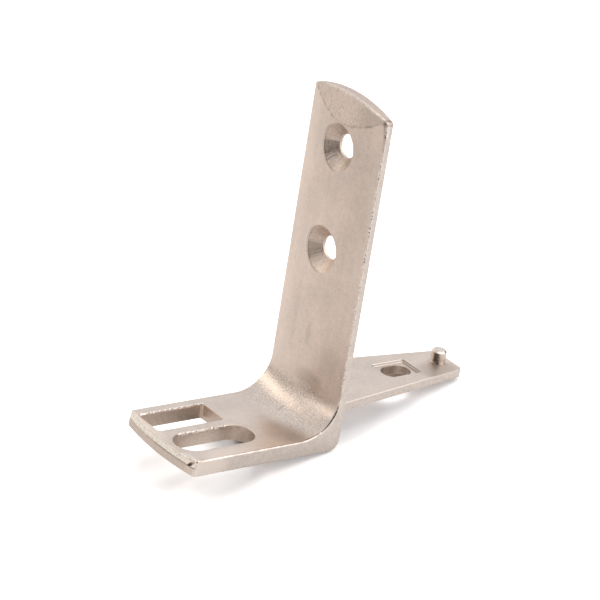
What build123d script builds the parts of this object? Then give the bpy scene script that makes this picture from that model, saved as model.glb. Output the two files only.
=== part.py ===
from build123d import *
import math
import os

# Mounting bracket of an oven door: one casting with a slotted foot, an upright arm and a tapered
# tail, and a round pin pressed into the tail.
#
# Millimetres. X runs from the foot (negative) to the tail (positive), Y across, Z up. The functions
# measure from the corner where the plane of the foot's underside meets the plane of the arm's flat
# back, at mid width. The finished solids have their origin midway between the arm's screws instead,
# on that flat back, because the screws are what holds the bracket.

# The strip that foot and arm share
strip_width = 27.3
front_edge_round = 0.35
back_edge_round = 0.15
crown_radius = 50.0

# Foot
foot_length = 41.85
foot_thickness = 3.85
foot_end_radius = 73.0
foot_corner_radius = 0.5
parting_height = 1.9
parting_step = 0.12
end_draft_angle = 8.0

# Gash in the foot's end
nick_length = 2.5
nick_depth = 0.45
nick_height = 2.65
nick_inset = 1.6
nick_slope = 38.0

# Bends between foot and arm
heel_radius = 2.7
inner_radius = 9.0

# Arm
arm_height = 83.45
arm_edge_thickness = 1.65
arm_top_radius = 42.0
arm_corner_radius = 1.0
facet_drop = 7.0
facet_lean_angle = 8.5
facet_crown_radius = 86.5

# Screw holes in the arm
screw_hole_diameter = 5.5
countersink_diameter = 11.2
countersink_angle = 90.0
screw_spacing = 25.0
lower_screw_height = 45.5

# Slots in the foot
slot_end_wall = 1.8
slot_rim_round = 0.2
square_slot_length = 18.1
square_slot_width = 8.7
square_slot_corner = 0.9
square_slot_y = 6.65
round_slot_length = 21.05
round_slot_width = 8.75
round_slot_y = -4.82

# Tail
tail_reach = 42.1
tail_top_height = 10.7
tail_edge_thickness = 2.1
tail_shoulder = 2.15
tail_tip_width = 10.8
tail_corner_radius = 1.6
tail_root_fillet = 1.0
tail_edge_round = 0.25

# Recess and slot in the tail
recess_end_x = 30.6
recess_length = 10.0
recess_width = 7.4
recess_depth = 0.55
recess_draft = 0.45
recess_corner = 0.6
tail_slot_width = 5.5
tail_slot_length = 7.85
tail_slot_x = 25.4
tail_slot_y = -0.3

# Pin
pin_diameter = 3.7
pin_height = 3.2
pin_chamfer = 0.4
pin_x = 38.45
pin_flange_diameter = 4.5
pin_flange_thickness = 0.2
pin_shank_diameter = 3.2

# Clear length by which a cutter runs past the face that it cuts, and the slack in comparing places
run_out = 1.0
tiny = 0.001

# A round bar that stands on its place, and one that hangs from it
STANDING = (Align.CENTER, Align.CENTER, Align.MIN)
HANGING = (Align.CENTER, Align.CENTER, Align.MAX)


def crown_over(half_span):
    """Rise of the shared crown over a strip of this half width."""
    return crown_radius - math.sqrt(crown_radius**2 - half_span**2)


half_width = strip_width / 2
arm_thickness = arm_edge_thickness + crown_over(half_width)
tail_root_width = strip_width - 2 * tail_shoulder
screw_heights = (lower_screw_height, lower_screw_height + screw_spacing)
screw_middle_height = sum(screw_heights) / 2


def foot_outline(inset):
    """Plan of the foot: square at the heel, gently bowed at the far end."""
    end_x = -foot_length + inset
    corner_x = end_x + foot_end_radius - math.sqrt(foot_end_radius**2 - half_width**2)
    far_side = Line((0, half_width), (corner_x, half_width))
    end = ThreePointArc((corner_x, half_width), (end_x, 0), (corner_x, -half_width))
    near_side = Line((corner_x, -half_width), (0, -half_width))
    back = Line((0, -half_width), (0, half_width))
    outline = make_face([far_side, end, near_side, back])
    return fillet(outline.vertices().sort_by(Axis.X)[:2], foot_corner_radius)


def foot_slab():
    """The foot, stepped at its parting line and drafted above it."""
    lower = extrude(foot_outline(0), parting_height)
    rise = foot_thickness - parting_height
    lean = rise * math.tan(math.radians(end_draft_angle))
    base = Pos(0, 0, parting_height) * foot_outline(parting_step)
    top = Pos(0, 0, foot_thickness) * foot_outline(parting_step + lean)
    return lower + loft([base, top], ruled=True)


def arm_section():
    """Section of the arm: flat back, square edges, crowned front."""
    edge_x = -arm_edge_thickness
    back = Line((0, -half_width), (0, half_width))
    far_edge = Line((0, half_width), (edge_x, half_width))
    front = ThreePointArc((edge_x, half_width), (-arm_thickness, 0), (edge_x, -half_width))
    near_edge = Line((edge_x, -half_width), (0, -half_width))
    return make_face([back, far_edge, front, near_edge])


def arch_outline():
    """Front view that the whole strip is trimmed to: straight sides under an arch."""
    shoulder = arm_height - arm_top_radius + math.sqrt(arm_top_radius**2 - half_width**2)
    base = Line((-half_width, -run_out), (half_width, -run_out))
    far_side = Line((half_width, -run_out), (half_width, shoulder))
    arch = ThreePointArc((half_width, shoulder), (0, arm_height), (-half_width, shoulder))
    near_side = Line((-half_width, shoulder), (-half_width, -run_out))
    outline = make_face([base, far_side, arch, near_side])
    return fillet(outline.vertices().sort_by(Axis.Y)[-2:], arm_corner_radius)


def facet_cutter():
    """What stands in front of a flatter crown that leans back: it cuts the facet under the arch."""
    width = strip_width + 2 * run_out
    height = facet_drop * 1.2
    block = Box(2 * arm_thickness, width, height, align=STANDING)
    crown = Pos(facet_crown_radius, 0, 0) * Cylinder(facet_crown_radius, height, align=STANDING)
    start = Pos(-arm_thickness, 0, arm_height - facet_drop)
    return start * Rot(0, facet_lean_angle, 0) * (block - crown)


def flat_at(height):
    """Test for edges that lie wholly at one height."""
    def test(edge):
        box = edge.bounding_box()
        return box.size.Z < tiny and abs(box.center().Z - height) < tiny
    return test


def rim_of(strip, height):
    """The outer edges of the foot at one height, which lead on into the arm's edges."""
    return [
        edge
        for edge in strip.edges().filter_by(flat_at(height))
        if edge.center().X < -foot_length / 2 or abs(edge.center().Y) > half_width - tiny
    ]


def bent_strip():
    """Foot and arm as one strip: heel, inner blend, then soft edges all along each side."""
    strip = foot_slab() + extrude(arm_section(), arm_height)
    heel = strip.edges().filter_by(Axis.Y).sort_by(lambda e: e.center().X - e.center().Z)[-1]
    strip = fillet(heel, heel_radius)
    bend = strip.edges().filter_by(flat_at(foot_thickness)).sort_by(Axis.X)[-1]
    strip = fillet(bend, inner_radius)
    strip = fillet(rim_of(strip, foot_thickness), front_edge_round)
    strip = fillet(rim_of(strip, 0), back_edge_round)
    trim = Plane.YZ.offset(-foot_length - run_out) * arch_outline()
    strip &= extrude(trim, foot_length + 2 * run_out)
    return strip - facet_cutter()


def tail_section(x, width):
    """Section of the tail at one place along it: flat top, crowned underside."""
    half = width / 2
    edge_z = tail_top_height - tail_edge_thickness
    top = Line((-half, tail_top_height), (half, tail_top_height))
    far_edge = Line((half, tail_top_height), (half, edge_z))
    under = ThreePointArc((half, edge_z), (0, edge_z - crown_over(half)), (-half, edge_z))
    near_edge = Line((-half, edge_z), (-half, tail_top_height))
    return Plane.YZ.offset(x) * make_face([top, far_edge, under, near_edge])


def tail_blank():
    """The tapered tongue, with rounded tip corners and a softened top edge."""
    blank = loft(
        [tail_section(0, tail_root_width), tail_section(tail_reach, tail_tip_width)], ruled=True
    )
    upright = blank.edges().filter_by(Axis.Z).sort_by(Axis.X)[-2:]
    blank = fillet(upright, tail_corner_radius)
    top = blank.edges().filter_by(flat_at(tail_top_height))
    return fillet(top.filter_by(lambda e: e.center().X > tiny), tail_edge_round)


def casting_blank():
    """Foot, arm and tail in one, with the blend where the tail leaves the arm's back."""
    strip = bent_strip()
    blank = strip + tail_blank()
    low = tail_top_height - tail_edge_thickness - crown_over(tail_root_width / 2) - tiny
    root = blank.edges().filter_by(
        lambda e: abs(e.bounding_box().max.X) < tiny
        and e.bounding_box().size.X < tiny
        and e.bounding_box().min.Z > low
        and e.bounding_box().max.Z < tail_top_height + tiny
    )
    return fillet(root, tail_root_fillet)


def screw_cutter(height):
    """Countersunk through hole, drilled from the arm's crowned front."""
    hole_radius = screw_hole_diameter / 2
    rim_radius = countersink_diameter / 2
    slope = math.tan(math.radians(countersink_angle / 2))
    front = arm_thickness
    sink_depth = (rim_radius - hole_radius) / slope
    profile = Polyline(
        (run_out, 0),
        (run_out, hole_radius),
        (-front + sink_depth, hole_radius),
        (-front - run_out, rim_radius + run_out * slope),
        (-front - run_out, 0),
        close=True,
    )
    return Pos(0, 0, height) * revolve(make_face(profile), Axis.X)


def foot_slots():
    """The square and the round-ended slot, both starting one wall in from the foot's end."""
    start = -foot_length + slot_end_wall
    square = RectangleRounded(square_slot_length, square_slot_width, square_slot_corner)
    rounded = SlotOverall(round_slot_length, round_slot_width)
    square_at = Pos(start + square_slot_length / 2, square_slot_y) * square
    round_at = Pos(start + round_slot_length / 2, round_slot_y) * rounded
    return Pos(0, 0, -run_out) * extrude(square_at + round_at, foot_thickness + 2 * run_out)


def recess_cutter():
    """Shallow drafted pocket in the tail's top."""
    middle = recess_end_x - recess_length / 2
    top = RectangleRounded(recess_length, recess_width, recess_corner)
    floor = RectangleRounded(
        recess_length - 2 * recess_draft, recess_width - 2 * recess_draft, recess_corner
    )
    floor_z = tail_top_height - recess_depth
    return loft([Pos(middle, 0, floor_z) * floor, Pos(middle, 0, tail_top_height) * top], ruled=True)


def tail_slot_cutter():
    """The slot through the recess floor."""
    slot = SlotOverall(tail_slot_length, tail_slot_width)
    depth = recess_depth + tail_edge_thickness + crown_over(tail_root_width / 2)
    return Pos(tail_slot_x, tail_slot_y, tail_top_height - depth) * extrude(slot, depth)


def pin_solid():
    """The pin: shank pressed into the tail, thin flange seated on it, chamfered free end."""
    body = Cylinder(pin_diameter / 2, pin_height, align=STANDING)
    body = chamfer(body.edges().sort_by(Axis.Z)[-1], pin_chamfer)
    flange = Cylinder(pin_flange_diameter / 2, pin_flange_thickness, align=STANDING)
    shank = Cylinder(pin_shank_diameter / 2, tail_edge_thickness, align=HANGING)
    return Pos(pin_x, 0, tail_top_height) * (body + flange + shank)


def pin_bore():
    """Through bore in the tail for the pin's shank."""
    depth = tail_edge_thickness + crown_over(tail_root_width / 2)
    return Pos(pin_x, 0, tail_top_height) * Cylinder(pin_shank_diameter / 2, depth, align=HANGING)


def nick_cutter():
    """Square bar set on edge, for the slanting gash in the foot's end near one corner."""
    side = nick_depth * math.sqrt(2)
    bar = Rot(0, 45, 0) * Box(side, nick_length, side)
    y = -half_width + nick_inset
    end_x = -foot_length + foot_end_radius - math.sqrt(foot_end_radius**2 - y**2)
    face_x = end_x + parting_step + (nick_height - parting_height) * math.tan(
        math.radians(end_draft_angle)
    )
    return Pos(face_x, y, nick_height) * Rot(-nick_slope, 0, 0) * bar


def bracket_solid():
    """The finished casting."""
    bracket = casting_blank() - nick_cutter()
    bracket -= foot_slots()
    rims = bracket.edges().filter_by(flat_at(foot_thickness)).filter_by(
        lambda e: -foot_length + slot_end_wall - tiny < e.bounding_box().min.X
        and abs(e.center().Y) < half_width - front_edge_round - tiny
        and e.center().X < -arm_thickness - inner_radius
    )
    bracket = fillet(rims, slot_rim_round)
    for height in screw_heights:
        bracket -= screw_cutter(height)
    bracket -= recess_cutter()
    bracket -= tail_slot_cutter()
    return bracket - pin_bore()


os.makedirs("parts", exist_ok=True)
to_screws = Pos(0, 0, -screw_middle_height)
for name, solid in (("bracket", bracket_solid()), ("pivot_pin", pin_solid())):
    export_step(to_screws * solid, f"parts/{name}.step")
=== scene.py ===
import math

import bmesh
import bpy
from mathutils import Matrix, Vector
from mathutils.noise import noise


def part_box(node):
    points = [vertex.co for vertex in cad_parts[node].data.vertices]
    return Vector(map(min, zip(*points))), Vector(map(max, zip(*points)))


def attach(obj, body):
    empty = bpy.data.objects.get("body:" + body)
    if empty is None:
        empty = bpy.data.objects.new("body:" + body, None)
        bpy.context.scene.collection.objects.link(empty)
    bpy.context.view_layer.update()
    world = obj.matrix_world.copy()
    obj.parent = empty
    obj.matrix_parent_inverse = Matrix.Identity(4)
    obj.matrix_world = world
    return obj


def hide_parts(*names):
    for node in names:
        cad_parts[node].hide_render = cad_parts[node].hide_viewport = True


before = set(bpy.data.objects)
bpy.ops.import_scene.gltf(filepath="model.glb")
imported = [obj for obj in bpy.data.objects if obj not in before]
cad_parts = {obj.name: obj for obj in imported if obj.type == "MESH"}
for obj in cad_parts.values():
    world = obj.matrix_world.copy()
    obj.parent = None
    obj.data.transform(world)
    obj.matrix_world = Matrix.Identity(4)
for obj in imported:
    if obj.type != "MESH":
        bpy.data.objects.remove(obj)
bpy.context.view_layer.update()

MM = 0.001

# The foot's underside, the height that the other heights are measured from
base_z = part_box("bracket")[0].z

# Camera: its place, in millimetres from the foot's underside, and its view, both fitted to the
# bracket's corners in the photograph
CAMERA_PLACE = Vector((-396.49, -470.67, 294.83)) * MM + Vector((0, 0, base_z))
CAMERA_RIGHT = Vector((0.80097, -0.57995, 0.14866))
CAMERA_DOWN = Vector((-0.12307, -0.40249, -0.90712))
CAMERA_LENS = 174.07

# Floor: the plane on which the heel and the tail's tip rest
FLOOR_SLOPE = 0.1856
FLOOR_DROP = 0.05 * MM
PAPER = (0.635, 0.61, 0.60, 1)
PAPER_SEEN = (0.98, 0.97, 0.97, 1)
PAPER_LIFT = 0.26
PAPER_X = (-0.45, 0.30)
PAPER_Y = (-0.45, 0.45)

# One soft lamp, above and behind the bracket, in metres
LAMP_PLACE = Vector((0.20, 0.26, 0.50))
LAMP_TARGET = Vector((0, 0, -0.05))
LAMP_SIZE = 0.42
LAMP_POWER = 2.6

# The white room round the bracket: its tone, and its places as direction, inner and outer
# half angle and tone
ROOM_TONE = (0.88, 0.86, 0.85)
ROOM_PLACES = [
    ((0.65, 0.65, 0.40), 30, 75, (0.97, 0.98, 1.00)),
    ((0.60, -0.70, 0.10), 25, 60, (1.60, 1.61, 1.64)),
    ((0.55, -0.38, 0.74), 10, 32, (2.5, 2.45, 2.4)),
    ((0.05, -0.28, 0.96), 14, 36, (2.1, 2.05, 2.0)),
    ((-0.70, 0.70, -0.10), 6, 16, (0.62, 0.57, 0.52)),
    ((-0.29, 0.93, -0.10), 5, 15, (0.55, 0.50, 0.46)),
    ((-0.92, 0.36, -0.14), 5, 15, (0.55, 0.50, 0.46)),
    ((-0.33, 0.88, 0.31), 4, 13, (2.5, 2.3, 2.06)),
    ((-0.50, 0.74, 0.45), 4, 12, (2.05, 1.9, 1.74)),
    ((-0.90, 0.36, 0.26), 4, 12, (2.2, 2.04, 1.87)),
    ((-0.75, -0.62, 0.35), 22, 44, (0.06, 0.055, 0.05)),
    ((1.00, -0.15, 0.20), 14, 28, (0.12, 0.11, 0.10)),
]

# Bracket sizes. Here and below, places and lengths are the drawing's millimetres, with z from
# the foot's underside
SCREW_HEIGHTS = (45.5, 70.5)
RIM_RADIUS = 5.6
PIN_X = 38.45
CROWN_FRONT = 3.55
CROWN_RADIUS = 50.0
PARTING_HEIGHT = 1.9
RECESS_MIDDLE = 10.43
RECESS_END_X = 30.0

# Where the finishes lie: heights on the arm, ends along the foot and tail, and boxes as two corners
BEND_TOP = 12.0
FACET_LOW = 74.0
ARCH_LOW = 78.0
FOOT_END_X = -38.0
TAIL_END_X = 40.0
RECESS_BOX = ((19.0, -4.2, 10.0), (31.2, 4.2, 20.0))
FOOT_SLOTS_BOX = ((-40.2, -9.4, -1.0), (-18.5, 11.2, 4.0))
TAIL_SLOT_BOX = ((20.0, -4.5, -1.0), (30.0, 4.5, 20.0))

# Finishes of the casting, in the order of its material slots
SKIN, FACET, SIDE, SINK, WALL, END_TOP, END_FOOT, ARCH, RECESS = range(9)

# Base colours of the metal
SKIN_COLOUR = (0.655, 0.562, 0.496)
FACET_COLOUR = (0.71, 0.613, 0.541)
SIDE_COLOUR = (0.69, 0.63, 0.58)
SINK_COLOUR = (0.64, 0.54, 0.47)
WALL_COLOUR = (0.69, 0.58, 0.50)
END_TOP_COLOUR = (0.93, 0.83, 0.75)
END_FOOT_COLOUR = (0.62, 0.54, 0.48)
ARCH_COLOUR = (0.58, 0.488, 0.432)
PIN_COLOUR = (0.66, 0.585, 0.525)
# Painted shade on the recess's walls, painted highlights along the side walls' rim and foot, and
# painted dark reflections along the end wall's rim and foot
RECESS_SIDE_SHADE = (0.34, 0.29, 0.25)
RECESS_SIDE_HIGHLIGHTS = (0.64, 0.585, 0.54)
RECESS_END_SHADE = (0.42, 0.36, 0.315)
RECESS_END_DARK_REFLECTIONS = (0.10, 0.08, 0.065)
# Dirt, and also painted shade and dark reflections
DIRT_AND_SHADE_COLOUR = (0.16, 0.11, 0.08)
# The painted dark reflection on the pin
PIN_DARK_REFLECTION_COLOUR = (0.09, 0.07, 0.055)
# Bright bare metal on worn edges, also used for painted highlights
BRIGHT_COLOUR = (0.93, 0.85, 0.78)

# Places with a look of their own: centre and radii
# Painted highlight on the lip of metal pushed up at the foot's end
LIP_HIGHLIGHT = ((-40.7, -11.6, 3.5), (1.8, 3.6, 1.5))
BEND = ((-6.0, 0.0, 7.5), (7.0, 22.0, 7.0))
# Beside the pin: rougher, with painted shade for the pin's shadow and reflection on the tail's top
BESIDE_PIN = ((35.5, -3.5, 10.7), (7.0, 5.0, 3.0))
# Painted highlight at the foot's near corner
NEAR_CORNER_HIGHLIGHT = ((-39.0, -13.6, 2.0), (9.0, 4.0, 4.0))
# Sandy walls of the round slot: rougher, with a painted highlight
SANDY_WALLS = ((-28.5, -4.8, 0.9), (10.5, 7.5, 4.2))
# Painted shade at the round slot's far end and in the tail's slot
SLOT_END_SHADE = ((-18.0, -4.5, 1.0), (4.0, 5.0, 3.4))
TAIL_SLOT_SHADE = ((25.0, 3.5, 7.0), (7.0, 3.0, 5.0))

# Darker and lighter places of the skin, painted shade and highlights among them: centre, radii
# and change of tone
SKIN_PLACES = [
    # Painted shade on the arm just above the bend
    ((-3.5, -3.0, 13.5), (3.0, 5.5, 3.5), -0.38),
    ((-3.6, -0.5, 24.5), (2.0, 1.2, 3.5), -0.25),
    ((-3.2, 5.5, 28.0), (3.0, 1.3, 16.0), -0.12),
    # Painted dark reflection of the arm on the foot's top by the bend
    ((-12.0, -7.5, 4.0), (6.0, 6.5, 2.5), -0.36),
    ((-40.6, 6.0, 3.9), (1.6, 9.0, 1.2), 0.30),
    # Painted highlight along the foot's top by its near edge
    ((-31.0, -12.5, 3.9), (8.0, 3.0, 1.0), 0.35),
]

# The painted dark reflection on the pin, a strip: where it starts, is full, ends being full and
# stops, in degrees round the pin and in height
DARK_REFLECTION_ROUND = (-176, -163, -146, -112)
DARK_REFLECTION_HEIGHTS = (10.95, 11.25, 13.35, 13.5)

# Worn edges: points along the edge, reach, depth and how broken it is, from 0 to 1
WORN_EDGES = [
    ([(-39.6, 11.0, 3.85), (-22.0, 11.0, 3.85)], 0.50, 0.20, 0.9),
    ([(-36.4, -0.45, 3.85), (-24.0, -0.45, 3.85), (-21.2, -1.6, 3.85), (-19.4, -4.0, 3.85)],
     0.50, 0.20, 0.9),
    ([(-1.65, -13.65, 12.6), (-2.1, -13.65, 10.4), (-3.1, -13.65, 8.1), (-5.6, -13.65, 5.5)],
     0.65, 0.10, 0.15),
    ([(-1.65, -13.65, 81.5), (-1.65, -13.65, 78.6)], 0.9, 0.26, 0.2),
    ([(-1.65, -13.65, 76.0), (-1.65, -13.65, 15.0)], 0.5, 0.09, 0.8),
    ([(-38.0, -13.65, 3.85), (-12.0, -13.65, 3.85)], 0.45, 0.055, 0.7),
    # The foot's near end corner: worn, with a painted highlight
    ([(-40.5, -13.6, 0.3), (-40.4, -13.6, 3.3)], 0.8, 0.10, 0.4),
    ([(-2.1, 9.0, 82.45), (-2.35, 5.0, 83.15), (-2.5, 0.0, 83.45), (-2.4, -5.2, 83.12),
      (-2.15, -8.8, 82.5), (-1.85, -11.3, 81.9), (-1.65, -12.9, 81.42)], 0.46, 0.10, 0.6),
]

# Dark lines on the skin: points along the line, half width and share of the dark colour
DARK_LINES = [
    ([(-7.85, 0.27, 5.2), (-6.7, 0.02, 6.0)], 0.13, 0.8),
    ([(-6.8, 3.7, 5.85), (-6.85, 2.05, 5.85)], 0.12, 0.35),
    ([(-1.90, -12.85, 81.1), (-1.80, -13.15, 79.2), (-1.74, -13.35, 78.0)], 0.50, 0.55),
    ([(-1.74, -13.35, 78.0), (-1.70, -13.45, 74.5)], 0.30, 0.35),
    ([(-31.0, -13.45, 3.8), (-10.5, -13.45, 3.85)], 0.34, 0.28),
    # Painted dark reflection along the bend's near edge
    ([(-1.87, -13.4, 11.3), (-2.33, -13.45, 9.5), (-3.2, -13.45, 7.8), (-4.36, -13.45, 6.5),
      (-6.1, -13.4, 5.2), (-7.8, -13.2, 4.45), (-9.4, -13.1, 4.0)], 0.30, 0.52),
]

# Shade on the paper: centre, radii, share and tone
FLOOR_SHADES = [
    ((-13.8, 2.2, -2.7), (4.8, 3.8, 3.0), 1.0, (0.26, 0.21, 0.17)),
    ((30.0, 5.4, 5.5), (7.0, 4.5, 3.0), 1.0, (0.24, 0.19, 0.15)),
    ((-29.0, -10.5, -5.4), (12.5, 6.5, 6.0), 0.34, (0.30, 0.31, 0.33)),
    ((-36.0, 2.0, -6.6), (13.0, 12.0, 6.0), 0.34, (0.32, 0.31, 0.30)),
    ((6.0, -8.5, 1.0), (14.0, 5.5, 5.0), 0.40, (0.60, 0.63, 0.68)),
    ((20.0, -7.0, 3.5), (10.0, 5.0, 5.0), 0.38, (0.60, 0.63, 0.68)),
]

# Marks: place, radius and depth, below 0 where metal is pushed up
MARKS = [
    (Vector((-1.68, -13.48, 56.4)), 0.45, 0.11),
    (Vector((-1.61, -13.57, 48.2)), 0.38, 0.07),
    (Vector((-41.0, -9.3, 3.3)), 0.85, -0.20),
    (Vector((-40.8, -10.3, 3.5)), 0.80, -0.30),
    (Vector((-40.5, -11.3, 3.7)), 0.75, -0.32),
    (Vector((-40.1, -12.2, 3.8)), 0.75, -0.26),
    (Vector((-39.4, -13.2, 3.7)), 0.70, -0.18),
    (Vector((-41.2, -8.2, 2.9)), 0.60, 0.14),
    (Vector((-41.3, -6.6, 3.2)), 0.50, 0.10),
    (Vector((-41.5, -3.4, 3.3)), 0.55, 0.10),
    (Vector((-41.6, 1.8, 3.2)), 0.45, 0.08),
]

# Relief of the cast skin, and of the broken faces besides: length and height of its waves
SKIN_WAVES = [(7.0, 0.022), (2.1, 0.009)]
BROKEN_WAVES = [(0.8, 0.030), (0.45, 0.030)]

# Wear: length of the chips, wear from which an edge is bright, and how far edges and marks count
CHIP_LENGTH = 0.5
BRIGHT_WEAR = 0.07
WEAR_REACH = 1.2

# Dirt: length of its patches, its share and top in the facet's crease, and its share and limits at
# the arch's near corner
PATCH_LENGTH = 1.1
CREASE_DIRT = 0.55
CREASE_TOP = 81.0
CORNER_DIRT = 0.5
CORNER_Y = -12.4
CORNER_LOW = 80.5

# Mesh: the gap across which corners are joined, the spacing of the cuts, and how near a cut passes
# a corner that it uses
JOINED_GAP = 0.0005
CUT_SPACING = 1.3
CUT_GAP = 0.002

# How far the mesh is fine round the worn edges, where the lip starts on the foot's end, and the
# longest edge round the worn edges, on the foot's end, by the lip, at the arm's top and elsewhere
FINE_REACH = 1.0
LIP_START_Y = -8.5
WORN_EDGE = 0.32
END_EDGE = 0.5
LIP_EDGE = 0.3
TOP_EDGE = 0.7
OTHER_EDGE = 2.0


class Value:
    """A shader socket that can be added, subtracted, multiplied and divided."""

    def __init__(self, shader, socket):
        self.shader = shader
        self.socket = socket

    def __add__(self, other):
        return self.shader.maths("ADD", self, other)

    def __radd__(self, other):
        return self.shader.maths("ADD", other, self)

    def __sub__(self, other):
        return self.shader.maths("SUBTRACT", self, other)

    def __rsub__(self, other):
        return self.shader.maths("SUBTRACT", other, self)

    def __mul__(self, other):
        return self.shader.maths("MULTIPLY", self, other)

    def __rmul__(self, other):
        return self.shader.maths("MULTIPLY", other, self)

    def __truediv__(self, other):
        return self.shader.maths("DIVIDE", self, other)

    def __rtruediv__(self, other):
        return self.shader.maths("DIVIDE", other, self)

    def __pow__(self, other):
        return self.shader.maths("POWER", self, other)


class Shader:
    """The node tree of one material or of the world."""

    def __init__(self, owner):
        owner.use_nodes = True
        self.tree = owner.node_tree
        self.tree.nodes.clear()

    def node(self, kind, settings=None, inputs=None, output=0):
        """Adds a node: its settings first, then the values or links of its sockets."""
        made = self.tree.nodes.new(kind)
        for name, value in (settings or {}).items():
            setattr(made, name, value)
        for name, value in (inputs or {}).items():
            if isinstance(value, Value):
                self.tree.links.new(value.socket, made.inputs[name])
            else:
                made.inputs[name].default_value = value
        if not made.outputs:
            return None
        return Value(self, made.outputs[output])

    def maths(self, operation, first, second=0.0):
        """A Math node on values or numbers."""
        return self.node("ShaderNodeMath", {"operation": operation}, {0: first, 1: second})

    def noise(self, grains, detail=2.0, lift=0.5, stretch=(1, 1, 1)):
        """Noise round 0.5 with so many grains a millimetre, on the object's coordinates."""
        scale = Vector(stretch) * grains / MM
        object_place = self.node("ShaderNodeTexCoord", output="Object")
        spread = self.node("ShaderNodeMapping", None, {"Vector": object_place, "Scale": scale})
        return self.node("ShaderNodeTexNoise", None, {
            "Vector": spread, "Scale": 1.0, "Detail": detail, "Roughness": lift,
        })

    def axes(self, names):
        """The object's coordinates on the named axes, in the drawing's millimetres."""
        object_place = self.node("ShaderNodeTexCoord", output="Object")
        place = self.vector_maths("SUBTRACT", object_place, Vector((0, 0, base_z)))
        return [
            self.node("ShaderNodeSeparateXYZ", None, {"Vector": place}, output=name) / MM
            for name in names
        ]

    def between(self, value, low, high):
        """0 up to low, 1 from high and smooth between them."""
        return self.node("ShaderNodeMapRange", {"interpolation_type": "SMOOTHSTEP"}, {
            "Value": value, "From Min": low, "From Max": high,
        })

    def painted(self, name):
        """A value kept with the mesh."""
        return self.node("ShaderNodeAttribute", {"attribute_name": name}, output="Fac")

    def bump(self, height, depth):
        """A normal from a height round 0.5; depth is in millimetres."""
        return self.node("ShaderNodeBump", None, {
            "Strength": 1.0, "Distance": depth * MM, "Height": height,
        })

    def mix(self, share, first, second):
        """Blends two colours."""
        return self.node(
            "ShaderNodeMix", {"data_type": "RGBA"}, {"Factor": share, 6: first, 7: second}, output=2
        )

    def vector_maths(self, operation, first, second, output="Vector"):
        """A Vector Math node on vectors."""
        return self.node("ShaderNodeVectorMath", {"operation": operation}, {0: first, 1: second},
                         output=output)

    def metal(self, colour, roughness, height, depth):
        """Makes the surface bare metal, with a bump of this height and depth."""
        bsdf = self.node("ShaderNodeBsdfPrincipled", None, {
            "Base Color": colour,
            "Metallic": 1.0,
            "Roughness": roughness,
            "Normal": self.bump(height, depth),
        })
        self.node("ShaderNodeOutputMaterial", None, {"Surface": bsdf})

    def on_line(self, points, half_width):
        """1 on a line through points of the drawing and 0 beyond its half width."""
        place = self.node("ShaderNodeTexCoord", output="Object")
        best = 0.0
        for first, second in zip(points, points[1:]):
            start = Vector(first) * MM + Vector((0, 0, base_z))
            step = (Vector(second) - Vector(first)) * MM
            away = self.vector_maths("SUBTRACT", place, start)
            along = self.vector_maths("DOT_PRODUCT", away, step / step.length_squared, "Value")
            share = self.node("ShaderNodeMapRange", None, {"Value": along})
            reached = self.node("ShaderNodeVectorMath", {"operation": "SCALE"}, {
                0: step, "Scale": share,
            })
            gap = self.vector_maths("DISTANCE", away, reached, "Value") / MM
            near = 1 - self.between(gap, half_width * 0.5, half_width)
            best = self.maths("MAXIMUM", best, near)
        return best


def add_object(name, data):
    """An object in the scene for a mesh, camera or lamp."""
    made = bpy.data.objects.new(name, data)
    bpy.context.scene.collection.objects.link(made)
    return made


def new_material(name):
    """A material with its empty node tree."""
    material = bpy.data.materials.new(name)
    return material, Shader(material)


def shade(colour, factor=1.0):
    """A colour made darker or lighter, with its alpha."""
    return (*(min(1.0, part * factor) for part in colour), 1)


def spot(sh, centre, radii):
    """1 at a place of the drawing and 0 outside an egg of these radii round it."""
    x, y, z = sh.axes("XYZ")
    gap = (
        ((x - centre[0]) / radii[0]) ** 2
        + ((y - centre[1]) / radii[1]) ** 2
        + ((z - centre[2]) / radii[2]) ** 2
    )
    return 1 - sh.between(gap, 0.1, 1.0)


def finish_casting(sh, colour, roughness, tone, height, depth, dark=0.0, bright=0.0):
    """The casting's metal in this colour, with worn edges, dirt, painted highlights and painted
    shade.
    """
    worn = sh.painted("worn")
    dirt = sh.painted("dirt")
    seen = sh.mix(sh.between(tone, 0.0, 1.0), shade(colour, 0.80), shade(colour, 1.20))
    seen = sh.mix(bright, seen, shade(BRIGHT_COLOUR))
    seen = sh.mix(worn * 0.8, seen, shade(BRIGHT_COLOUR, 0.96))
    seen = sh.mix(dirt, seen, shade(DIRT_AND_SHADE_COLOUR))
    seen = sh.mix(dark, seen, shade(DIRT_AND_SHADE_COLOUR))
    roughness = roughness + (tone - 0.5) * 0.14 + dirt * 0.25 - worn * 0.16
    sh.metal(seen, roughness, height, depth)


def round_screw(sh):
    """Distance from the nearest screw's axis, height above it, and 1 for the upper screw."""
    y, z = sh.axes("YZ")
    lower_height, upper_height = SCREW_HEIGHTS
    upper = sh.maths("GREATER_THAN", z, (lower_height + upper_height) / 2)
    rise = z - lower_height - upper * (upper_height - lower_height)
    return (y * y + rise * rise) ** 0.5, rise, upper


def countersink_rim_line(sh):
    """The dark line along the countersinks' left rims."""
    x, y, z = sh.axes("XYZ")
    radius, rise = round_screw(sh)[:2]
    ring = sh.between(radius, RIM_RADIUS - 0.15, RIM_RADIUS)
    ring = ring * (1 - sh.between(radius, RIM_RADIUS + 0.15, RIM_RADIUS + 0.35))
    left = sh.between(y - rise * 0.4, 1.0, 3.5)
    return ring * left * sh.between(0 - x, 1.0, 1.2) * sh.between(z, 8.0, 20.0)


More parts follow.
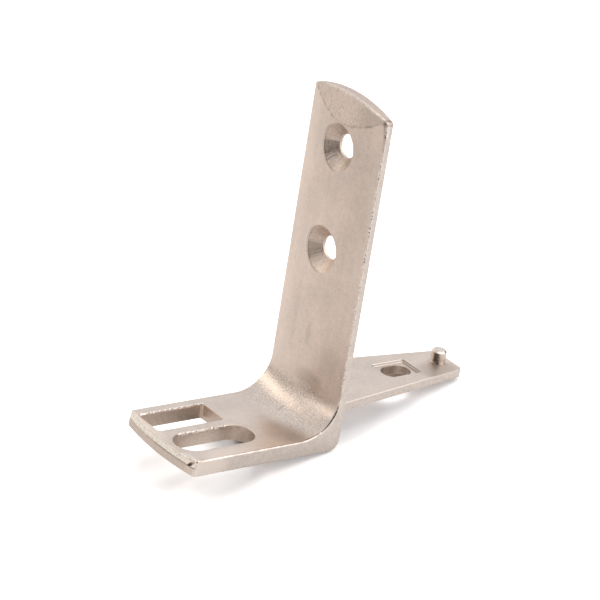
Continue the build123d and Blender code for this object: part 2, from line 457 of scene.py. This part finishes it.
def cast_skin():
    """The cast and tumbled faces: fine grain, faint clouds, and flow streaks up the arm."""
    material, sh = new_material("cast_skin")
    fine = sh.noise(2.9, 3.0, 0.6)
    mottle = sh.noise(0.65, 4.0, 0.6)
    cloud = sh.noise(0.10, 2.0)
    streak = sh.noise(1.0, 3.0, 0.6, (0.8, 0.8, 0.06))
    y, z = sh.axes("YZ")
    on_arm = sh.between(z, 8.0, 20.0)
    # Painted sheen: lighter along the arm's far side, less along its near side
    side_sheen = sh.between(y, 7.0, 11.0) + sh.between(0 - y, 8.0, 12.0) * 0.4
    bend = spot(sh, *BEND)
    by_pin = spot(sh, *BESIDE_PIN)
    # The tone takes painted shade beside the pin
    tone = (
        0.5 + (fine - 0.5) * 0.95 + (mottle - 0.5) * 0.45 + (cloud - 0.5) * 0.6
        + (streak - 0.5) * 0.25 * on_arm + side_sheen * on_arm * 0.16
        + (fine - 0.5) * bend * 1.7 - by_pin * 0.50
    )
    for centre, radii, change in SKIN_PLACES:
        tone = tone + spot(sh, centre, radii) * change
    broken = sh.between(sh.noise(1.4, 3.0, 0.7), 0.38, 0.52)
    dark = countersink_rim_line(sh) * 0.38
    for points, half_width, share in DARK_LINES:
        line = sh.on_line(points, half_width) * share * (0.55 + broken * 0.45)
        dark = sh.maths("MAXIMUM", dark, line)
    height = fine * (0.8 + bend * 1.9) + mottle * 0.6 + streak * on_arm * 0.2
    roughness = 0.34 + by_pin * 0.22 - bend * 0.08
    # Painted highlight on the lip
    bright = spot(sh, *LIP_HIGHLIGHT) * 0.45
    finish_casting(sh, SKIN_COLOUR, roughness, tone, height, 0.020, dark, bright)
    return material


def fine_grain(sh):
    """The finest grain of a broken or sawn face."""
    return sh.noise(3.6, 2.0, 0.6)


def broken_grain(sh, fine, coarse):
    """Tone and height of a broken or sawn face: fine grain, coarse crystals and small pits."""
    crystals = sh.noise(2.1, 3.0, 0.65)
    pits = 1 - sh.between(sh.noise(0.95, 2.0), 0.30, 0.40)
    tone = 0.5 + (crystals - 0.5) * 1.3 * coarse + (fine - 0.5) * 0.8 - pits * 0.35 * coarse
    height = crystals + fine * 0.35 - pits * 0.5
    return tone, height


def broken_facet():
    """The facet under the arch, darker towards its near end."""
    material, sh = new_material("broken_facet")
    tone, height = broken_grain(sh, fine_grain(sh), 1.0)
    (y,) = sh.axes("Y")
    tone = tone - sh.between(0 - y, 2, 9) * 0.45
    finish_casting(sh, FACET_COLOUR, 0.48, tone, height, 0.05)
    return material


def slot_wall():
    """The slots' walls: sandy with a painted highlight in the round slot; painted shade at its end,
    in the tail.
    """
    material, sh = new_material("slot_wall")
    fine = fine_grain(sh)
    tone, height = broken_grain(sh, fine, 0.6)
    sandy = spot(sh, *SANDY_WALLS)
    roughness = 0.42 + sandy * 0.28
    # Painted shade at the round slot's far end and in the tail's slot
    dark = spot(sh, *SLOT_END_SHADE) * 0.35 + spot(sh, *TAIL_SLOT_SHADE) * 0.2
    # Painted highlight on the sandy walls
    bright = sandy * (fine * 1.8)
    finish_casting(sh, WALL_COLOUR, roughness, tone, height, 0.03, dark, bright)
    return material


def end_lip():
    """The foot's end above the parting line: bright crystals over a dark ragged crack."""
    material, sh = new_material("end_lip")
    fine = fine_grain(sh)
    tone, height = broken_grain(sh, fine, 1.5)
    y, z = sh.axes("YZ")
    ragged = z + (fine - 0.5) * 0.35
    crack = (1 - sh.between(ragged, 2.06, 2.22)) * (0.20 + sh.between(0 - y, -7, 2) * 0.40)
    dark = crack + sh.between(ragged, 3.0, 3.3) * 0.10
    # Painted highlight on the lip
    bright = spot(sh, *LIP_HIGHLIGHT) * 0.45
    finish_casting(sh, END_TOP_COLOUR, 0.42, tone, height, 0.075, dark, bright)
    return material


def blasted_side(name, colour, roughness):
    """The trimmed sides: even fine grain, with a painted highlight at the foot's near corner."""
    material, sh = new_material(name)
    fine = sh.noise(2.8, 3.0, 0.65)
    mottle = sh.noise(0.7, 3.0, 0.6)
    # Painted highlight at the foot's near corner
    corner = spot(sh, *NEAR_CORNER_HIGHLIGHT)
    tone = 0.5 + (fine - 0.5) * 1.0 + (mottle - 0.5) * 0.5 + corner * 0.55
    finish_casting(sh, colour, roughness, tone, fine * 0.7 + mottle * 0.7, 0.022)
    return material


def pressed_recess():
    """Drafted walls of the recess in painted shade, with painted highlights and dark reflections at
    rim and foot.
    """
    material, sh = new_material("pressed_recess")
    x, z = sh.axes("XZ")
    fine = sh.noise(3.0, 3.0, 0.6)
    off_middle = sh.maths("ABSOLUTE", z - RECESS_MIDDLE)
    line = sh.between(off_middle + (fine - 0.5) * 0.15, 0.13, 0.20)
    side = sh.mix(line, shade(RECESS_SIDE_SHADE), shade(RECESS_SIDE_HIGHLIGHTS))
    end = sh.mix(line, shade(RECESS_END_SHADE), shade(RECESS_END_DARK_REFLECTIONS))
    both = sh.mix(sh.between(x, RECESS_END_X, RECESS_END_X + 0.25), side, end)
    sh.metal(both, 0.42 + (fine - 0.5) * 0.2, fine, 0.02)
    return material


def cut_sink():
    """The countersinks and screw holes: rings and chatter left by the cutter."""
    material, sh = new_material("cut_sink")
    x, y = sh.axes("XY")
    radius, rise, upper = round_screw(sh)
    angle = sh.maths("ARCTAN2", rise, y)
    sweep = sh.node("ShaderNodeCombineXYZ", None, {0: radius * 3.4, 1: angle * 1.6, 2: upper * 9})
    rings = sh.node("ShaderNodeTexNoise", None, {"Vector": sweep, "Scale": 1.0, "Detail": 2.0})
    spokes = sh.node("ShaderNodeCombineXYZ", None, {0: radius * 0.4, 1: angle * 9.0, 2: upper * 7})
    chatter = sh.node("ShaderNodeTexNoise", None, {"Vector": spokes, "Scale": 1.0, "Detail": 2.0})
    fine = sh.noise(3.0, 2.0)
    flecks = sh.noise(2.2, 3.0, 0.7)
    low = sh.between(0 - rise, -0.5, 2.5)
    strike = sh.between(flecks * 1.6 - rise, 1.3, 1.7) * (1 - sh.between(0 - rise, 1.5, 4.0))
    tone = (
        0.5 + (rings - 0.5) * 0.9 + (chatter - 0.5) * 1.5 + (fine - 0.5) * 0.9 - low * 0.05
        + (flecks - 0.5) * low * 2.2 + (1 - upper) * low * 0.30 + strike * 0.3 - upper * 0.12
    )
    height = rings * 0.5 + chatter * (0.8 + low * 0.8) + fine * 0.5 + flecks * low * 1.2
    below_rim = x + CROWN_FRONT - y * y / (2 * CROWN_RADIUS)
    rim = (1 - sh.between(below_rim, 0.08, 0.28)) * sh.between(y - rise * 0.4, 0.0, 3.0)
    finish_casting(sh, SINK_COLOUR, 0.44, tone, height, 0.045, rim * 0.3)
    return material


def turned_steel():
    """The pin: bright turned steel with fine rings round it and a strip of painted dark reflection.
    """
    material, sh = new_material("turned_steel_bright")
    lines = sh.noise(1.0, 2.0, 0.6, (0.25, 0.25, 9.0))
    fine = sh.noise(2.5, 2.0)
    tone = 0.5 + (lines - 0.5) * 1.1 + (fine - 0.5) * 0.6
    steel = sh.mix(sh.between(tone, 0.0, 1.0), shade(PIN_COLOUR, 0.88), shade(PIN_COLOUR, 1.12))
    x, y, z = sh.axes("XYZ")
    # Painted dark reflection in a strip round the pin
    dark_reflection = 1.0
    turn = sh.maths("ARCTAN2", y, x - PIN_X)
    for value, limits in (
        (turn, [math.radians(limit) for limit in DARK_REFLECTION_ROUND]),
        (z, DARK_REFLECTION_HEIGHTS),
    ):
        start, full, full_end, stop = limits
        dark_reflection = dark_reflection * sh.between(value, start, full) * (1 - sh.between(value, full_end, stop))
    steel = sh.mix(dark_reflection * 0.75, steel, shade(PIN_DARK_REFLECTION_COLOUR))
    sh.metal(steel, 0.27 + (lines - 0.5) * 0.14, lines * 0.6 + fine * 0.4, 0.006)
    return material


def drawing(place):
    """A place in the drawing's millimetres."""
    return Vector((place.x / MM, place.y / MM, (place.z - base_z) / MM))


def holds(box, at):
    """Whether a place is in a box that two corners give."""
    return all(low < value < high for low, value, high in zip(box[0], at, box[1]))


def finish_of(face):
    """Which of the casting's finishes a face has, from where it is and how it faces."""
    at = drawing(face.calc_center_median())
    facing = face.normal
    from_screw = min(math.hypot(at.y, at.z - height) for height in SCREW_HEIGHTS)
    if at.z > BEND_TOP and from_screw < RIM_RADIUS + 0.1 and abs(facing.x) < 0.9:
        return SINK
    if at.z > FACET_LOW and facing.x < -0.85 and 0.07 < facing.z < 0.5:
        return FACET
    if at.z > ARCH_LOW and facing.z > 0.8:
        return ARCH
    if holds(RECESS_BOX, at) and 0.3 < facing.z < 0.9:
        return RECESS
    if abs(facing.z) < 0.6 and (holds(FOOT_SLOTS_BOX, at) or holds(TAIL_SLOT_BOX, at)):
        return WALL
    if at.x < FOOT_END_X and facing.x < -0.6:
        if at.z < PARTING_HEIGHT:
            return END_FOOT
        return END_TOP if facing.x < -0.9 else SKIN
    if abs(facing.y) > 0.9 or (at.x > TAIL_END_X and facing.x > 0.6):
        return SIDE
    return SKIN


def line_distance(at, points):
    """How far a place is from a line through points."""
    best = 1e9
    for start, end in zip(points, points[1:]):
        step = end - start
        share = min(1.0, max(0.0, (at - start).dot(step) / step.length_squared))
        best = min(best, (at - start - share * step).length)
    return best


def worn_edges_near(at, spare):
    """The worn edges whose box, widened by a spare length, holds a place."""
    found = []
    for points, reach, depth, broken in WORN_EDGES:
        if all(
            min(values) - spare < value < max(values) + spare
            for value, values in zip(at, zip(*points))
        ):
            found.append(([Vector(point) for point in points], reach, depth, broken))
    return found


def longest_edge(at):
    """The longest mesh edge allowed at a place."""
    if any(line_distance(at, edge[0]) < FINE_REACH for edge in worn_edges_near(at, FINE_REACH)):
        return WORN_EDGE
    if at.x < FOOT_END_X - 0.5:
        return END_EDGE if at.y > LIP_START_Y else LIP_EDGE
    if at.z > FACET_LOW - 1.0:
        return TOP_EDGE
    return OTHER_EDGE


def wear(at, edges):
    """How much is worn off at a place near the worn edges."""
    lost = 0.0
    for points, reach, depth, broken in edges:
        gap = line_distance(at, points)
        if gap < reach:
            chips = 0.5 + 2.0 * noise(at / CHIP_LENGTH + Vector((0, 0, 7)))
            bite = 1 - broken + broken * max(0.0, chips)
            lost += depth * bite * (1 - gap / reach)
    return lost


def relief(at, rough, edges, marks):
    """Height of the cast surface above the drawing's."""
    height = sum(wave * noise(at / length) for length, wave in SKIN_WAVES)
    if rough > 0:
        height += rough * sum(wave * noise(at / length) for length, wave in BROKEN_WAVES)
    for place, radius, depth in marks:
        gap = (at - place).length
        if gap < radius:
            height -= depth * (1 - (gap / radius) ** 2) ** 2
    return height - wear(at, edges)


def cut_in_cells(bm, length):
    """Cuts the mesh by evenly spaced planes along each axis, so that no face is long."""
    for axis in range(3):
        low = min(vert.co[axis] for vert in bm.verts)
        high = max(vert.co[axis] for vert in bm.verts)
        count = int((high - low) / length)
        facing = Vector([float(axis == other) for other in range(3)])
        for number in range(1, count):
            level = low + (high - low) * number / count
            bmesh.ops.bisect_plane(
                bm, geom=bm.verts[:] + bm.edges[:] + bm.faces[:], dist=CUT_GAP * MM,
                plane_co=facing * level, plane_no=facing,
            )


def cut_into_triangles(bm):
    """Cuts the faces with more than three corners into triangles."""
    bmesh.ops.triangulate(bm, faces=[face for face in bm.faces if len(face.verts) > 3])


def split_long_edges(bm):
    """Halves the edges that are too long for their place, twice over."""
    for _ in range(2):
        long_edges = []
        for edge in bm.edges:
            length = edge.calc_length() / MM
            if length > WORN_EDGE:
                if length > longest_edge(drawing((edge.verts[0].co + edge.verts[1].co) / 2)):
                    long_edges.append(edge)
        bmesh.ops.subdivide_edges(bm, edges=long_edges, cuts=1)
        cut_into_triangles(bm)


def dirt_at(at, finishes):
    """How dark the dirt is: in the facet's crease and at the arch's near corner."""
    patchy = min(1.0, max(0.0, 0.5 + 1.4 * noise(at / PATCH_LENGTH)))
    if FACET in finishes and SKIN in finishes and at.z < CREASE_TOP:
        return CREASE_DIRT * patchy
    if at.z > CORNER_LOW and at.y < CORNER_Y:
        return CORNER_DIRT
    return 0.0


def fine_bracket():
    """The bracket node's mesh with its finishes, in small faces that keep its smooth normals."""
    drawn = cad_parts["bracket"].data.copy()
    smooth = drawn.attributes.new("smooth_normal", "FLOAT_VECTOR", "CORNER")
    for number, corner in enumerate(drawn.corner_normals):
        smooth.data[number].vector = corner.vector
    bm = bmesh.new()
    bm.from_mesh(drawn)
    bpy.data.meshes.remove(drawn)
    bmesh.ops.remove_doubles(bm, verts=bm.verts, dist=JOINED_GAP * MM)
    bm.normal_update()
    for face in bm.faces:
        face.material_index = finish_of(face)
    cut_in_cells(bm, CUT_SPACING * MM)
    cut_into_triangles(bm)
    split_long_edges(bm)
    return bm


def add_relief(bm):
    """Moves the mesh by its relief, tilts its normals with it and paints its wear and dirt."""
    smooth_layer = bm.loops.layers.float_vector["smooth_normal"]
    worn_layer = bm.verts.layers.float.new("worn")
    dirt_layer = bm.verts.layers.float.new("dirt")
    step = 0.08
    tilts = {}
    moves = {}
    for vert in bm.verts:
        at = drawing(vert.co)
        loops = vert.link_loops
        rough = sum(loop.face.material_index in (FACET, END_TOP) for loop in loops) / len(loops)
        edges = worn_edges_near(at, WEAR_REACH)
        marks = [mark for mark in MARKS if (at - mark[0]).length < WEAR_REACH]
        here = relief(at, rough, edges, marks)
        tilts[vert] = Vector([
            relief(at + Vector(aside), rough, edges, marks) - here
            for aside in ((step, 0, 0), (0, step, 0), (0, 0, step))
        ]) / step
        normal = Vector((0, 0, 0))
        for loop in loops:
            normal += Vector(loop[smooth_layer]) * loop.calc_angle()
        moves[vert] = normal.normalized() * here * MM
        vert[worn_layer] = min(1.0, wear(at, edges) / BRIGHT_WEAR)
        vert[dirt_layer] = dirt_at(at, {loop.face.material_index for loop in loops})
    for face in bm.faces:
        face.smooth = True
        for loop in face.loops:
            normal = Vector(loop[smooth_layer])
            slope = tilts[loop.vert]
            loop[smooth_layer] = (normal - (slope - slope.dot(normal) * normal)).normalized()
    for vert, move in moves.items():
        vert.co += move


def make_casting():
    """The bracket as cast: the drawing's form with its waves, worn edges and marks."""
    bm = fine_bracket()
    add_relief(bm)
    mesh = bpy.data.meshes.new("bracket_casting")
    bm.to_mesh(mesh)
    bm.free()
    mesh.validate()
    corners = mesh.attributes["smooth_normal"]
    mesh.normals_split_custom_set([corner.vector for corner in corners.data])
    mesh.attributes.remove(mesh.attributes["smooth_normal"])
    casting = add_object("bracket_casting", mesh)
    for finish in (
        cast_skin(),
        broken_facet(),
        blasted_side("blasted_side", SIDE_COLOUR, 0.50),
        cut_sink(),
        slot_wall(),
        end_lip(),
        blasted_side("end_foot", END_FOOT_COLOUR, 0.45),
        blasted_side("trimmed_arch", ARCH_COLOUR, 0.50),
        pressed_recess(),
    ):
        mesh.materials.append(finish)
    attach(casting, "root")
    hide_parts("bracket")


def make_camera():
    """The camera that sees the bracket as the photograph does."""
    data = bpy.data.cameras.new("camera")
    data.sensor_width = 36
    data.lens = CAMERA_LENS
    data.clip_start = 0.01
    data.clip_end = 10
    camera = add_object("camera", data)
    right = CAMERA_RIGHT.normalized()
    up = -CAMERA_DOWN.normalized()
    back = right.cross(up)
    turn = Matrix((right, up, back)).transposed()
    camera.matrix_world = Matrix.Translation(CAMERA_PLACE) @ turn.to_4x4()
    bpy.context.scene.camera = camera


def make_floor():
    """White paper, sloped as it lies under the bracket's heel and tail tip."""
    bm = bmesh.new()
    bmesh.ops.create_grid(bm, x_segments=1, y_segments=1, size=1)
    low_x, high_x = PAPER_X
    low_y, high_y = PAPER_Y
    for vert in bm.verts:
        vert.co.x = high_x if vert.co.x > 0 else low_x
        vert.co.y = high_y if vert.co.y > 0 else low_y
        vert.co.z = base_z + FLOOR_SLOPE * vert.co.x - FLOOR_DROP
    mesh = bpy.data.meshes.new("floor")
    bm.to_mesh(mesh)
    bm.free()
    floor = add_object("floor", mesh)
    material, sh = new_material("floor_paper")
    seen = sh.node("ShaderNodeLightPath", output="Is Camera Ray")
    shown = PAPER_SEEN
    glow_tone = (1, 1, 1, 1)
    for centre, radii, share, colour in FLOOR_SHADES:
        shaded = spot(sh, centre, radii) * share
        shown = sh.mix(shaded, shown, (*colour, 1))
        glow_tone = sh.mix(shaded, glow_tone, (*colour, 1))
    tone = sh.mix(seen, PAPER, shown)
    paper = sh.node("ShaderNodeBsdfDiffuse", None, {"Color": tone})
    under = sh.node("ShaderNodeNewGeometry", output="Backfacing")
    lift = sh.node("ShaderNodeEmission", None, {"Color": glow_tone, "Strength": PAPER_LIFT})
    dark = sh.node("ShaderNodeEmission", None, {"Strength": 0.0})
    glow = sh.node("ShaderNodeMixShader", None, {0: seen, 1: dark, 2: lift})
    both = sh.node("ShaderNodeAddShader", None, {0: paper, 1: glow})
    clear = sh.node("ShaderNodeBsdfTransparent")
    sided = sh.node("ShaderNodeMixShader", None, {0: under, 1: both, 2: clear})
    sh.node("ShaderNodeOutputMaterial", None, {"Surface": sided})
    mesh.materials.append(material)


def make_lamp():
    """The soft lamp, which the metal doesn't mirror."""
    data = bpy.data.lights.new("key", "AREA")
    data.size = LAMP_SIZE
    data.energy = LAMP_POWER
    lamp = add_object("key", data)
    lamp.location = LAMP_PLACE
    lamp.rotation_euler = (LAMP_TARGET - LAMP_PLACE).to_track_quat("-Z", "Y").to_euler()
    lamp.visible_glossy = False


def lobe(sh, direction, inner, outer):
    """1 in a cone round a direction and 0 outside it, by the half angles in degrees."""
    towards = sh.node("ShaderNodeTexCoord", output="Generated")
    facing = sh.vector_maths("DOT_PRODUCT", towards, Vector(direction).normalized(), "Value")
    return sh.between(facing, math.cos(math.radians(outer)), math.cos(math.radians(inner)))


def make_world():
    """A white room: its bright and dark places as the metal mirrors them in the photograph."""
    world = bpy.data.worlds.new("studio")
    bpy.context.scene.world = world
    sh = Shader(world)
    tone = (*ROOM_TONE, 1)
    for direction, inner, outer, colour in ROOM_PLACES:
        tone = sh.mix(lobe(sh, direction, inner, outer), tone, (*colour, 1))
    seen = sh.node("ShaderNodeLightPath", output="Is Camera Ray")
    room = sh.node("ShaderNodeBackground", None, {"Color": tone, "Strength": 1.0})
    white = sh.node("ShaderNodeBackground", None, {"Color": (1, 1, 1, 1), "Strength": 1.0})
    both = sh.node("ShaderNodeMixShader", None, {0: seen, 1: room, 2: white})
    sh.node("ShaderNodeOutputWorld", None, {"Surface": both})


make_casting()
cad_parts["pivot_pin"].data.materials[0] = turned_steel()
make_camera()
make_floor()
make_lamp()
make_world()

bpy.context.scene.view_settings.view_transform = "Standard"
